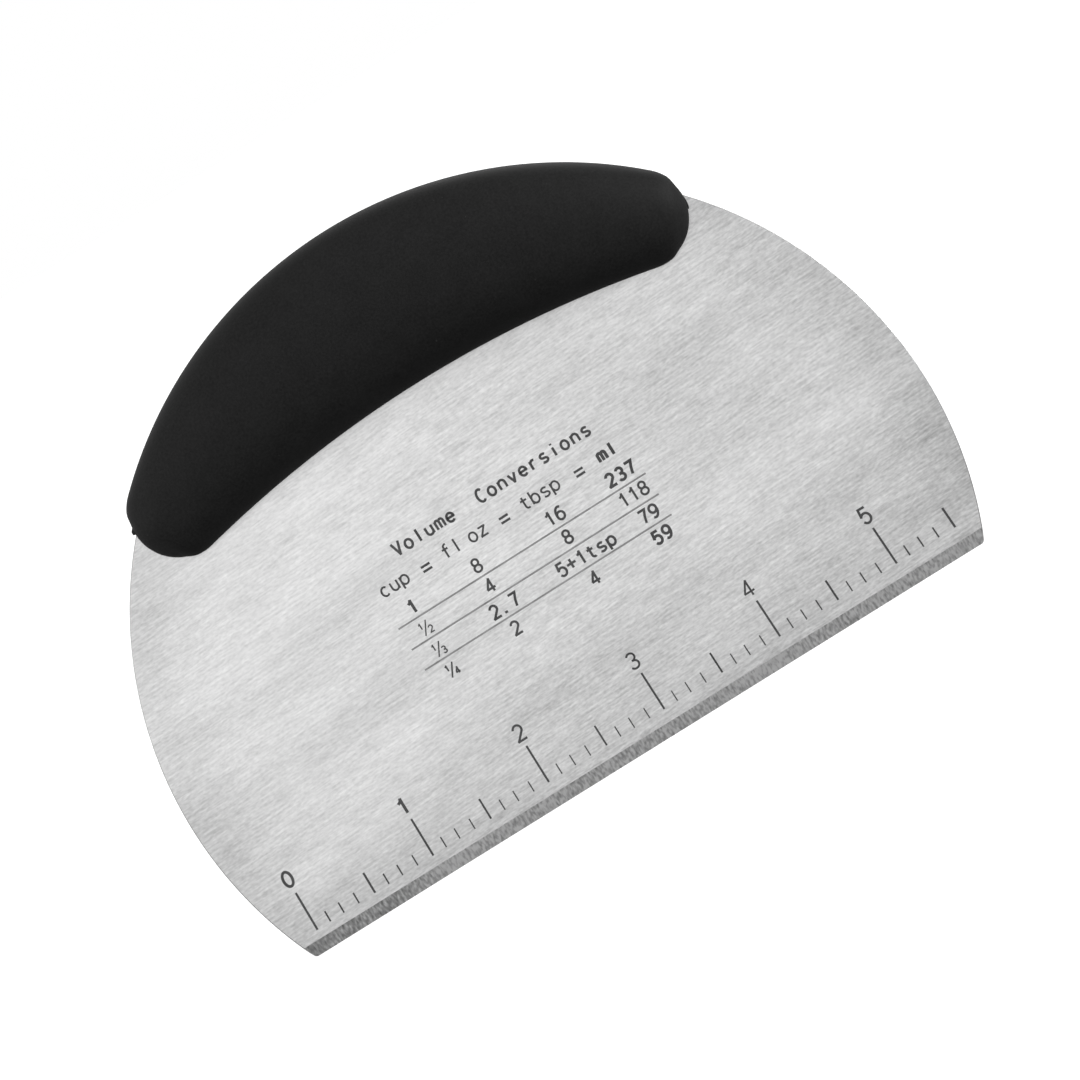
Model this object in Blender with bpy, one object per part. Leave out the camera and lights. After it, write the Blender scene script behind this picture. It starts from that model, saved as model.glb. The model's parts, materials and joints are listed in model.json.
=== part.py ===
"""Half-round bench scraper: a steel blade whose tang is riveted between two rigid half cores, with a
soft grip moulded over them. Metres, +Z up. The blade stands on its straight working edge, the edge runs
along X, the bevelled front faces -Y, and the origin is the middle of the edge."""

import math

import bmesh
import bpy
from mathutils import Matrix, Vector

MM = 0.001

# Blade: a circle cut off by the working edge at Z = 0.
BLADE_RADIUS = 79.5 * MM
BLADE_CENTRE_Z = 31.3 * MM
BLADE_THICKNESS = 1.0 * MM
CORNER_RADIUS = 1.0 * MM
BEVEL_HEIGHT = 2.8 * MM
EDGE_LAND = 0.35 * MM
FACE_LINE_Z = 68.0 * MM  # a line across both faces, just below the handle

# Handle outline: an upper arc concentric with the blade, a flatter lower arc, and round ends.
HANDLE_OVERHANG = 2.92 * MM
LOWER_ARC_RADIUS = 216.8 * MM
LOWER_ARC_CENTRE_Z = -135.4 * MM
END_RADIUS = 9.15 * MM

# Handle section: half the depth, as a share of half the height.
DEPTH_RATIO_MIDDLE = 0.68
DEPTH_RATIO_ENDS = 0.80
SECTION_POWER = 2.25  # 2 is an ellipse, and more is fuller

# Fits and walls.
GAP = 0.3 * MM
GRIP_WALL = 2.2 * MM
CORE_WALL = 2.4 * MM

# Rivets.
RIVETS = {  # share of the spine's half length, from the middle
    "far_left": -0.8,
    "near_left": -0.4,
    "centre": 0.0,
    "near_right": 0.4,
    "far_right": 0.8,
}
SHANK_RADIUS = 1.8 * MM
HEAD_RADIUS = 3.5 * MM
HEAD_HEIGHT = 1.0 * MM
HEAD_CHAMFER = 0.3 * MM
HEAD_SINK = 2.0 * MM  # the seat's depth below the core's surface
HEAD_CLEARANCE = 4.0 * MM  # how far the hole for a head runs out from its seat, past the core
HOLLOW_RADIUS = 1.0 * MM
HOLLOW_DEPTH = 2.5 * MM
BOSS_RADIUS = 5.4 * MM  # material left around each rivet, between the pockets

# Pockets in the half cores: their height as a share of the core's, and their floor's as a share of that.
POCKET_HEIGHT = 0.86
POCKET_FLOOR = 0.55

# Facets.
ARC_STEP = math.radians(2.2)
SPINE_STEPS = 36
CAP_STEPS = 6
GRIP_SIDES = 28
CAVITY_SIDES = 20
RIVET_SIDES = 16
POCKET_STEPS = 6
HARD_EDGE = 40  # degrees: an edge that turns by more is drawn sharp on the rivets and cores
GRIP_HARD_EDGE = 50

# The handle's spine is where circles touch both arcs: an ellipse with its foci at the arcs' centres.
UPPER_ARC_RADIUS = BLADE_RADIUS + HANDLE_OVERHANG
SPINE_LONG = (UPPER_ARC_RADIUS + LOWER_ARC_RADIUS) / 2
SPINE_FOCUS = (BLADE_CENTRE_Z - LOWER_ARC_CENTRE_Z) / 2
SPINE_SHORT = math.sqrt(SPINE_LONG**2 - SPINE_FOCUS**2)
SPINE_CENTRE_Z = (BLADE_CENTRE_Z + LOWER_ARC_CENTRE_Z) / 2
SPINE_END = math.acos((END_RADIUS + SPINE_LONG - UPPER_ARC_RADIUS) / SPINE_FOCUS)


def clear_scene():
    for obj in list(bpy.data.objects):
        bpy.data.objects.remove(obj)


def material(name, colour, roughness, metallic):
    mat = bpy.data.materials.new(name)
    mat.use_nodes = True
    shader = mat.node_tree.nodes["Principled BSDF"]
    shader.inputs["Base Color"].default_value = (*colour, 1.0)
    shader.inputs["Roughness"].default_value = roughness
    shader.inputs["Metallic"].default_value = metallic
    mat.diffuse_color = (*colour, 1.0)
    return mat


def add_object(name, bm, mat=None, smooth_angle=None):
    """Closes off a bmesh as an object with outward faces."""
    bmesh.ops.recalc_face_normals(bm, faces=bm.faces)
    mesh = bpy.data.meshes.new(name)
    bm.to_mesh(mesh)
    bm.free()
    if smooth_angle is not None:
        mesh.shade_smooth()
        mesh.set_sharp_from_angle(angle=math.radians(smooth_angle))
    if mat is not None:
        mesh.materials.append(mat)
    obj = bpy.data.objects.new(name, mesh)
    bpy.context.scene.collection.objects.link(obj)
    return obj


def add_cutter(name, bm):
    obj = add_object(name, bm)
    obj.hide_render = True
    obj.display_type = "WIRE"
    return obj


def cut(obj, cutters):
    for cutter in cutters:
        boolean = obj.modifiers.new("cut " + cutter.name, "BOOLEAN")
        boolean.operation = "DIFFERENCE"
        boolean.object = cutter


def arc(centre, radius, start, end):
    """Points from angle start to angle end, both included, in the XZ plane."""
    steps = max(2, math.ceil(abs(end - start) / ARC_STEP))
    angles = [start + (end - start) * i / steps for i in range(steps + 1)]
    return [(centre[0] + radius * math.cos(a), centre[1] + radius * math.sin(a)) for a in angles]


def blade_outline(grow=0.0, floor_z=0.0):
    """The cut-off circle with rounded corners, anticlockwise from the left end of its straight edge."""
    radius = BLADE_RADIUS + grow
    corner_z = floor_z + CORNER_RADIUS
    corner_x = math.sqrt((radius - CORNER_RADIUS) ** 2 - (BLADE_CENTRE_Z - corner_z) ** 2)
    tangent = math.atan2(corner_z - BLADE_CENTRE_Z, corner_x)
    right = arc((corner_x, corner_z), CORNER_RADIUS, -math.pi / 2, tangent)
    top = arc((0.0, BLADE_CENTRE_Z), radius, tangent, math.pi - tangent)
    left = arc((-corner_x, corner_z), CORNER_RADIUS, math.pi - tangent, 1.5 * math.pi)
    return right + top[1:-1] + left


def plate(outline, half_thickness):
    """A flat plate of that outline, centred on Y = 0."""
    bm = bmesh.new()
    front = bm.faces.new([bm.verts.new((x, -half_thickness, z)) for x, z in outline])
    moved = bmesh.ops.extrude_face_region(bm, geom=[front])
    across = Vector((0.0, 2 * half_thickness, 0.0))
    verts = [v for v in moved["geom"] if isinstance(v, bmesh.types.BMVert)]
    bmesh.ops.translate(bm, verts=verts, vec=across)
    return bm


def slice_off(bm, point, normal):
    """Removes what lies beyond a plane, on the normal's side, and caps the cut."""
    geom = bm.verts[:] + bm.edges[:] + bm.faces[:]
    sliced = bmesh.ops.bisect_plane(bm, geom=geom, plane_co=point, plane_no=normal, clear_outer=True)
    rim = [e for e in sliced["geom_cut"] if isinstance(e, bmesh.types.BMEdge)]
    bmesh.ops.contextual_create(bm, geom=rim)


def spine(u):
    """Point, direction, touching circle's radius and that radius's slope, at ellipse angle u."""
    point = Vector((SPINE_SHORT * math.sin(u), 0.0, SPINE_CENTRE_Z + SPINE_LONG * math.cos(u)))
    along = Vector((SPINE_SHORT * math.cos(u), 0.0, -SPINE_LONG * math.sin(u)))
    radius = UPPER_ARC_RADIUS - SPINE_LONG + SPINE_FOCUS * math.cos(u)
    slope = -SPINE_FOCUS * math.sin(u) / along.length
    return point, along.normalized(), radius, slope


def half_depth(u, radius, inset):
    """Depth of the flattened ball at u, in front of the middle plane."""
    share = min(1.0, abs(u) / SPINE_END)
    ease = share * share * (3 - 2 * share)
    ratio = DEPTH_RATIO_MIDDLE + (DEPTH_RATIO_ENDS - DEPTH_RATIO_MIDDLE) * ease
    return ratio * radius - inset


def section(u, lean, inset, sides):
    """A closed loop around the flattened ball at u. Its plane leans from the ball's centre by that
    angle's sine, towards the handle's right end."""
    point, along, radius, _ = spine(u)
    up = Vector((-along.z, 0.0, along.x))
    reach = math.cos(lean)
    loop = []
    for i in range(sides):
        turn = 2 * math.pi * i / sides
        height = math.copysign(abs(math.cos(turn)) ** (2 / SECTION_POWER), math.cos(turn))
        depth = math.copysign(abs(math.sin(turn)) ** (2 / SECTION_POWER), math.sin(turn))
        place = point + (radius - inset) * (math.sin(lean) * along + reach * height * up)
        place.y = reach * depth * half_depth(u, radius, inset)
        loop.append(place)
    return loop


def handle_body(inset, sides):
    """The handle's outer form, or the same form with its surface moved in by inset."""
    loops = []
    end_lean = math.asin(-spine(SPINE_END)[3])
    caps = [end_lean + (math.pi / 2 - end_lean) * i / CAP_STEPS for i in range(1, CAP_STEPS)]
    loops += [section(-SPINE_END, -lean, inset, sides) for lean in reversed(caps)]
    for i in range(SPINE_STEPS + 1):
        u = SPINE_END * (2 * i / SPINE_STEPS - 1)
        loops.append(section(u, math.asin(-spine(u)[3]), inset, sides))
    loops += [section(SPINE_END, lean, inset, sides) for lean in caps]

    bm = bmesh.new()
    rings = [[bm.verts.new(place) for place in loop] for loop in loops]
    for a, b in zip(rings, rings[1:]):
        for i in range(sides):
            j = (i + 1) % sides
            bm.faces.new((a[i], a[j], b[j], b[i]))
    for u, ring in ((-SPINE_END, rings[0]), (SPINE_END, rings[-1])):
        point, along, radius, _ = spine(u)
        tip = bm.verts.new(point + math.copysign(radius - inset, u) * along)
        for i in range(sides):
            bm.faces.new((ring[i], ring[(i + 1) % sides], tip))
    return bm


def lathe(profile, sides):
    """Turns (y, radius) points, the first and last on the axis, about the Y axis."""
    bm = bmesh.new()
    tips = [bm.verts.new((0.0, y, 0.0)) for y, _ in (profile[0], profile[-1])]
    rings = []
    for y, radius in profile[1:-1]:
        turns = [2 * math.pi * i / sides for i in range(sides)]
        rings.append([bm.verts.new((radius * math.cos(t), y, radius * math.sin(t))) for t in turns])
    for i in range(sides):
        j = (i + 1) % sides
        bm.faces.new((tips[0], rings[0][i], rings[0][j]))
        bm.faces.new((tips[1], rings[-1][j], rings[-1][i]))
        for a, b in zip(rings, rings[1:]):
            bm.faces.new((a[i], b[i], b[j], a[j]))
    return bm


def rivet_place(share):
    """Where a rivet crosses the middle plane, and the depth of its head's seat."""
    u = share * SPINE_END
    point, _, radius, _ = spine(u)
    seat = half_depth(u, radius, GRIP_WALL + GAP) - HEAD_SINK
    return point, seat


def rivet(seat):
    """A shank with a head at both ends and the hollow end that its setting leaves at the back."""
    under = seat + GAP
    top = under + HEAD_HEIGHT
    profile = [
        (-top, 0.0),
        (-top, HEAD_RADIUS - HEAD_CHAMFER),
        (-top + HEAD_CHAMFER, HEAD_RADIUS),
        (-under, HEAD_RADIUS),
        (-under, SHANK_RADIUS),
        (under, SHANK_RADIUS),
        (under, HEAD_RADIUS),
        (top - HEAD_CHAMFER, HEAD_RADIUS),
        (top, HEAD_RADIUS - HEAD_CHAMFER),
        (top, HOLLOW_RADIUS),
        (top - HOLLOW_DEPTH, HOLLOW_RADIUS),
        (top - HOLLOW_DEPTH, 0.0),
    ]
    return lathe(profile, RIVET_SIDES)


def rivet_clearance(seat):
    """The hole for a rivet's shank, opened out for its heads from their seats outward."""
    outside = seat + HEAD_CLEARANCE
    hole = SHANK_RADIUS + GAP
    wide = HEAD_RADIUS + GAP
    profile = [(-outside, 0.0), (-outside, wide), (-seat, wide), (-seat, hole)]
    profile += [(-y, r) for y, r in reversed(profile)]
    return lathe(profile, RIVET_SIDES)


def pocket(share_a, share_b, side):
    """A moulded pocket between two rivets, open towards the blade. Side is -1 in front, 1 behind."""
    inset = GRIP_WALL + GAP + CORE_WALL
    margin = BOSS_RADIUS / SPINE_SHORT
    start = share_a * SPINE_END + margin
    end = share_b * SPINE_END - margin
    bm = bmesh.new()
    rings = []
    for i in range(POCKET_STEPS + 1):
        u = start + (end - start) * i / POCKET_STEPS
        point, along, radius, _ = spine(u)
        up = Vector((-along.z, 0.0, along.x))
        tall = POCKET_HEIGHT * (radius - inset)
        floor_tall = POCKET_FLOOR * tall
        deep = half_depth(u, radius, inset)
        ring = []
        for height, y in ((-tall, 0.0), (tall, 0.0), (floor_tall, deep), (-floor_tall, deep)):
            place = point + height * up
            place.y = side * y
            ring.append(bm.verts.new(place))
        rings.append(ring)
    for a, b in zip(rings, rings[1:]):
        for i in range(4):
            j = (i + 1) % 4
            bm.faces.new((a[i], a[j], b[j], b[i]))
    bm.faces.new(rings[0])
    bm.faces.new(rings[-1])
    return bm


def make_blade(mat, clearances):
    half = BLADE_THICKNESS / 2
    bm = plate(blade_outline(), half)
    # The bevel leaves a narrow land at the back of the working edge.
    slope = Vector((0.0, -BEVEL_HEIGHT, -(BLADE_THICKNESS - EDGE_LAND)))
    slice_off(bm, Vector((0.0, -half, BEVEL_HEIGHT)), slope.normalized())
    geom = bm.verts[:] + bm.edges[:] + bm.faces[:]
    line = Vector((0.0, 0.0, FACE_LINE_Z))
    bmesh.ops.bisect_plane(bm, geom=geom, plane_co=line, plane_no=Vector((0.0, 0.0, 1.0)))
    blade = add_object("blade", bm, mat)
    cut(blade, clearances)
    return blade


def make_core_half(name, side, mat, clearances):
    bm = handle_body(GRIP_WALL + GAP, CAVITY_SIDES)
    face = Vector((0.0, side * (BLADE_THICKNESS / 2 + GAP), 0.0))
    slice_off(bm, face, Vector((0.0, -side, 0.0)))
    core = add_object(name, bm, mat, smooth_angle=HARD_EDGE)
    shares = list(RIVETS.values())
    pockets = []
    for i, (a, b) in enumerate(zip(shares, shares[1:])):
        pockets.append(add_cutter(f"{name}_pocket_{i + 1}", pocket(a, b, side)))
    cut(core, pockets + clearances)
    return core


def make_grip(mat):
    grip = add_object("grip", handle_body(0.0, GRIP_SIDES), mat, smooth_angle=GRIP_HARD_EDGE)
    cavity = add_cutter("grip_cavity", handle_body(GRIP_WALL, CAVITY_SIDES))
    slot_outline = blade_outline(grow=GAP, floor_z=BLADE_CENTRE_Z)
    slot = add_cutter("grip_slot", plate(slot_outline, BLADE_THICKNESS / 2 + GAP))
    cut(grip, [cavity, slot])
    return grip


def main():
    clear_scene()
    steel = material("brushed stainless steel", (0.62, 0.62, 0.61), 0.36, 1.0)
    rivet_steel = material("rivet steel", (0.55, 0.55, 0.56), 0.30, 1.0)
    core_plastic = material("rigid core plastic", (0.16, 0.16, 0.17), 0.55, 0.0)
    soft_rubber = material("soft grip rubber", (0.018, 0.018, 0.019), 0.70, 0.0)

    parts = []
    clearances = []
    for name, share in RIVETS.items():
        point, seat = rivet_place(share)
        pin = add_object("rivet_" + name, rivet(seat), rivet_steel, smooth_angle=HARD_EDGE)
        hole = add_cutter("clearance_" + name, rivet_clearance(seat))
        pin.location = point
        hole.location = point
        parts.append(pin)
        clearances.append(hole)
    parts.append(make_blade(steel, clearances))
    parts.append(make_core_half("core_front", -1, core_plastic, clearances))
    parts.append(make_core_half("core_back", 1, core_plastic, clearances))
    parts.append(make_grip(soft_rubber))

    scraper = bpy.data.objects.new("scraper", None)
    bpy.context.scene.collection.objects.link(scraper)
    for part in parts:
        part.parent = scraper
        part.matrix_parent_inverse = Matrix.Identity(4)


main()
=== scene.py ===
"""Half-round bench scraper: the finished look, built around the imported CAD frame.

Metres, +Z up. The blade's faces lie along the XZ plane, its bevelled and etched front faces -Y, and its
straight working edge stands on the floor at Z = 0."""

import json
import math

import bmesh
import bpy
from mathutils import Matrix, Vector


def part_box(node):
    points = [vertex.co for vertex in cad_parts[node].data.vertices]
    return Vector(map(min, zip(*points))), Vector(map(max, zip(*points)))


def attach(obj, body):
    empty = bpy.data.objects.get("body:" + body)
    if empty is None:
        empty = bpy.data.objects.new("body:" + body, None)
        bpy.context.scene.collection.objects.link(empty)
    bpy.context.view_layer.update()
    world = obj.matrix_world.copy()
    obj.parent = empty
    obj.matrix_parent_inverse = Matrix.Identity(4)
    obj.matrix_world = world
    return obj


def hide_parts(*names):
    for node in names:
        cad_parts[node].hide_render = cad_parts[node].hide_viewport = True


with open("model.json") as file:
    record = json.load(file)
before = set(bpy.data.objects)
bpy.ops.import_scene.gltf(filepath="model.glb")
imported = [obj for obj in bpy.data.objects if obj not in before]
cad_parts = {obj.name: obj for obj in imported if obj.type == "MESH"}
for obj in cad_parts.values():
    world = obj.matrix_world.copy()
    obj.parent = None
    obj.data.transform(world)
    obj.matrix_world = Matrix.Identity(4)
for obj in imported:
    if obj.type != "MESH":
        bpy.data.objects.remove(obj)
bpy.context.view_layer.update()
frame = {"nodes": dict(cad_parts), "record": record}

MM = 0.001
BROAD_FACE = 20 * MM**2
SAME_DIRECTION = 0.999  # least dot product of two unit vectors that count as parallel
SAME_PLACE = 1e-9  # metres
BODY = "root"

# Blade: its CAD node's box gives the first sizes, and the others are the CAD model's own.
BLADE_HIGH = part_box("blade")[1]
BLADE_RADIUS = BLADE_HIGH.x
BLADE_CENTRE_Z = BLADE_HIGH.z - BLADE_RADIUS
HALF_THICKNESS = BLADE_HIGH.y
CORNER_RADIUS = 1.0 * MM
BEVEL_HEIGHT = 2.8 * MM
EDGE_LAND = 0.35 * MM
RIM_RADIUS = 0.18 * MM  # the tumbled rounding of the blade's sheared rim
RIM_STEPS = 4
OUTLINE_STEPS = 480
CORNER_STEPS = 12
BLADE_SHARP = 35  # edges that turn by more, in degrees, are shaded sharp
RIVET_HOLE_RADIUS = 2.1 * MM
RIVET_HOLE_SIDES = 48
RIVET_NODES = ("rivet_far_left", "rivet_near_left", "rivet_centre", "rivet_near_right", "rivet_far_right")

# Grip: its CAD node's box gives its upper arc, and the others are the CAD model's own.
GRIP_TOP_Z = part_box("grip")[1].z
UPPER_ARC_RADIUS = GRIP_TOP_Z - BLADE_CENTRE_Z
LOWER_ARC_RADIUS = 216.8 * MM
LOWER_ARC_CENTRE_Z = -135.4 * MM
END_RADIUS = 9.15 * MM
DEPTH_RATIO_MIDDLE = 0.68
DEPTH_RATIO_ENDS = 0.80
SECTION_POWER = 2.25
GRIP_WALL = 2.2 * MM
SLOT_GAP = 0.06 * MM
SLOT_STEPS = 360
GRIP_SHARP = 50  # edges that turn by more, in degrees, are shaded sharp

# The spine is the ellipse on which a circle touches both of the grip's arcs.
SPINE_LONG = (UPPER_ARC_RADIUS + LOWER_ARC_RADIUS) / 2
SPINE_FOCUS = (BLADE_CENTRE_Z - LOWER_ARC_CENTRE_Z) / 2
SPINE_SHORT = math.sqrt(SPINE_LONG**2 - SPINE_FOCUS**2)
SPINE_CENTRE_Z = (BLADE_CENTRE_Z + LOWER_ARC_CENTRE_Z) / 2
SPINE_END = math.acos((END_RADIUS + SPINE_LONG - UPPER_ARC_RADIUS) / SPINE_FOCUS)

# The mould's parting line runs over the grip. Towards the tips the grip is blunter than a ball.
LINE_HEIGHT = 0.05 * MM
LINE_HALF_WIDTH = 0.16 * MM
TIP_FLATTENING = 0.34 * MM
FLATTENING_START = math.radians(34)
FLATTENING_FULL = math.radians(50)
# The parting line ends in a nib over the blade's rim. Each has the leans where it starts, is full and stops,
# and its height. The left one is short and sharp, the right one long and low.
LEFT_NIB = (math.radians(53), math.radians(57.5), math.radians(60), 0.44 * MM)
RIGHT_NIB = (math.radians(58), math.radians(77), math.radians(79), 0.28 * MM)
NIB_HALF_WIDTH = 1.3 * MM
NIB_EDGE = math.radians(0.4)
LAST_LEAN = math.radians(86)
# Where a section has points for the parting line and the nib, in shares of their half widths. Then the most
# of the section's depth that they take, and the share of the nib's half width at which its top ends.
LINE_POINTS = (0.5, 1.0, 2.0)
NIB_POINTS = (0.5, 0.85, 1.0, 1.2)
RIDGE_SHARE = 0.75
NIB_TOP = 0.8

# Etched marks.
INCH = 25.4 * MM
RULER_ZERO_X = -2.75 * INCH
RULER_BASE_Z = 5.3 * MM
PRINT_TILT = math.radians(0.42)
MARK_WIDTH = 0.37 * MM
FILM = 0.02 * MM  # an etched mark's oxide layer
FILM_GAP = 0.004 * MM
FILM_STEP = 0.003 * MM  # between the parts of a letter, which overlap
LETTER_ADVANCE = 0.72  # of the letter height
SHARP_TURN = math.radians(120)  # a stroke that turns by more is drawn in two parts
CORNER_OVERLAP = 0.35  # of the stroke's width, by which both parts pass the corner

# Camera: the angle it looks from, its tilt about its own axis, and the point it looks at.
CAMERA_AZIMUTH = math.radians(0.76)
CAMERA_ELEVATION = math.radians(9.54)
CAMERA_ROLL = math.radians(32.02)
CAMERA_DISTANCE = 0.7362
CAMERA_AIM = Vector((0.00337, 0.0, 0.04462))
CAMERA_LENS = 133.33


# ---------------------------------------------------------------- meshes


def smooth(bm, sharp_angle):
    """Smooth shading, apart from the edges of broad flat faces and those that turn by more than the angle.

    The angle is in degrees."""
    bm.normal_update()
    for face in bm.faces:
        face.smooth = True
    for edge in bm.edges:
        flat = any(face.calc_area() > BROAD_FACE for face in edge.link_faces)
        edge.smooth = not flat and edge.calc_face_angle(0.0) < math.radians(sharp_angle)


def add_piece(name, bm, materials):
    """Makes an object of a bmesh, rides it on the body and names its finish."""
    bmesh.ops.recalc_face_normals(bm, faces=bm.faces)
    mesh = bpy.data.meshes.new(name)
    bm.to_mesh(mesh)
    bm.free()
    for mat in materials:
        mesh.materials.append(mat)
    obj = bpy.data.objects.new(name, mesh)
    bpy.context.scene.collection.objects.link(obj)
    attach(obj, BODY)
    return obj


def subtract(bm, *tools):
    """The first solid with the others cut out of it, as a new bmesh."""
    objects = []
    for i, source in enumerate((bm, *tools)):
        bmesh.ops.recalc_face_normals(source, faces=source.faces)
        mesh = bpy.data.meshes.new(f"solid_{i}")
        source.to_mesh(mesh)
        source.free()
        obj = bpy.data.objects.new(mesh.name, mesh)
        bpy.context.scene.collection.objects.link(obj)
        objects.append(obj)
    for tool in objects[1:]:
        boolean = objects[0].modifiers.new("cut", "BOOLEAN")
        boolean.operation = "DIFFERENCE"
        boolean.object = tool
    graph = bpy.context.evaluated_depsgraph_get()
    result = bmesh.new()
    result.from_mesh(objects[0].evaluated_get(graph).to_mesh())
    for obj in objects:
        mesh = obj.data
        bpy.data.objects.remove(obj)
        bpy.data.meshes.remove(mesh)
    return result


def rivet_hole(point):
    """A cylinder along Y that goes through the blade."""
    bm = bmesh.new()
    bmesh.ops.create_cone(
        bm,
        cap_ends=True,
        segments=RIVET_HOLE_SIDES,
        radius1=RIVET_HOLE_RADIUS,
        radius2=RIVET_HOLE_RADIUS,
        depth=8 * HALF_THICKNESS,
        matrix=Matrix.Translation(point) @ Matrix.Rotation(math.pi / 2, 4, "X"),
    )
    return bm


# ---------------------------------------------------------------- blade


def arc(centre_x, centre_z, radius, start, end, steps):
    """Points along a circle, from one angle to another, anticlockwise from the right."""
    angles = [start + (end - start) * i / steps for i in range(steps + 1)]
    return [(centre_x + radius * math.cos(a), centre_z + radius * math.sin(a)) for a in angles]


def blade_outline(inset=0.0):
    """The cut-off circle with rounded corners. Every inset has the same number of points."""
    radius = BLADE_RADIUS - inset
    corner = CORNER_RADIUS - inset
    corner_z = CORNER_RADIUS
    corner_x = math.sqrt((BLADE_RADIUS - CORNER_RADIUS) ** 2 - (BLADE_CENTRE_Z - corner_z) ** 2)
    tangent = math.atan2(corner_z - BLADE_CENTRE_Z, corner_x)
    right = arc(corner_x, corner_z, corner, -math.pi / 2, tangent, CORNER_STEPS)
    top = arc(0.0, BLADE_CENTRE_Z, radius, tangent, math.pi - tangent, OUTLINE_STEPS)
    left = arc(-corner_x, corner_z, corner, math.pi - tangent, 1.5 * math.pi, CORNER_STEPS)
    return right + top[1:-1] + left


def blade_solid():
    """The plate with its rim rounded on both sides, before the bevel is ground."""
    profile = []
    for i in range(RIM_STEPS + 1):
        turn = math.pi / 2 * i / RIM_STEPS
        inset = RIM_RADIUS * (1 - math.sin(turn))
        profile.append((inset, -HALF_THICKNESS + RIM_RADIUS * (1 - math.cos(turn))))
    profile += [(inset, -y) for inset, y in reversed(profile)]
    bm = bmesh.new()
    rings = []
    for inset, y in profile:
        rings.append([bm.verts.new((x, y, z)) for x, z in blade_outline(inset)])
    count = len(rings[0])
    for a, b in zip(rings, rings[1:]):
        for i in range(count):
            j = (i + 1) % count
            bm.faces.new((a[i], a[j], b[j], b[i]))
    bm.faces.new(rings[0])
    bm.faces.new(rings[-1])
    return bm


def grind_bevel(bm):
    """Cuts the front of the working edge back to a plane that leaves the land. Returns its normal."""
    point = Vector((0.0, -HALF_THICKNESS, BEVEL_HEIGHT))
    normal = Vector((0.0, -BEVEL_HEIGHT, -(2 * HALF_THICKNESS - EDGE_LAND))).normalized()
    geom = bm.verts[:] + bm.edges[:] + bm.faces[:]
    cut = bmesh.ops.bisect_plane(bm, geom=geom, plane_co=point, plane_no=normal, clear_outer=True)
    border = [e for e in cut["geom_cut"] if isinstance(e, bmesh.types.BMEdge)]
    bmesh.ops.contextual_create(bm, geom=border)
    bm.normal_update()
    return normal


def make_blade(steel, rim_steel, ground_steel):
    bm = blade_solid()
    bevel_normal = grind_bevel(bm)
    holes = []
    for name in RIVET_NODES:
        low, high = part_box(name)
        holes.append(rivet_hole((low + high) / 2))
    bm = subtract(bm, *holes)
    smooth(bm, BLADE_SHARP)
    for face in bm.faces:
        flat = abs(face.normal.y) > SAME_DIRECTION
        ground = face.normal.dot(bevel_normal) > SAME_DIRECTION
        face.material_index = 0 if flat else 2 if ground else 1
    blade = add_piece("blade_plate", bm, [steel, rim_steel, ground_steel])
    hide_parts("blade")
    return blade


# ---------------------------------------------------------------- grip


def spine(u):
    """Point, direction, touching circle's radius and that radius's slope, at ellipse angle u."""
    point = Vector((SPINE_SHORT * math.sin(u), 0.0, SPINE_CENTRE_Z + SPINE_LONG * math.cos(u)))
    along = Vector((SPINE_SHORT * math.cos(u), 0.0, -SPINE_LONG * math.sin(u)))
    radius = UPPER_ARC_RADIUS - SPINE_LONG + SPINE_FOCUS * math.cos(u)
    slope = -SPINE_FOCUS * math.sin(u) / along.length
    return point, along.normalized(), radius, slope


def smoothstep(low, high, value):
    """0 below low and 1 above high, with a smooth rise between them."""
    t = min(1.0, max(0.0, (value - low) / (high - low)))
    return t * t * (3 - 2 * t)


def half_depth(u, radius):
    """Half the grip's depth at ellipse angle u, for a touching circle of that radius."""
    ease = smoothstep(0.0, 1.0, abs(u) / SPINE_END)
    return radius * (DEPTH_RATIO_MIDDLE + (DEPTH_RATIO_ENDS - DEPTH_RATIO_MIDDLE) * ease)


def ridge_turns(depth):
    """Turns from the top at which a section has points for the parting line and the nib.

    Also how much closer together they are where the section is shallow."""
    depths = [share * LINE_HALF_WIDTH for share in LINE_POINTS]
    depths += [share * NIB_HALF_WIDTH for share in NIB_POINTS]
    shrink = min(1.0, RIDGE_SHARE * depth / depths[-1])
    return [math.asin((shrink * y / depth) ** (SECTION_POWER / 2)) for y in depths], shrink


def section_turns(depth, sides):
    """Turns around a whole section, close together where the ridge stands."""
    near, shrink = ridge_turns(depth)
    rest = sides - len(near)
    front = near + [near[-1] + (math.pi - near[-1]) * i / rest for i in range(1, rest)]
    return [0.0] + front + [math.pi] + [-t for t in reversed(front)], shrink


def ridge_height(y, lean, shrink):
    """How far the parting line, and the nibs at the handle's tips, stand out at depth y."""
    y = abs(y) / shrink
    start, full, stop, height = LEFT_NIB if lean < 0 else RIGHT_NIB
    nib = height * smoothstep(start, full, abs(lean)) if abs(lean) <= stop else 0.0
    line = LINE_HEIGHT * (1 - smoothstep(0.0, LINE_HALF_WIDTH, y))
    return line + nib * (1 - smoothstep(NIB_TOP * NIB_HALF_WIDTH, NIB_HALF_WIDTH, y))


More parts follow.
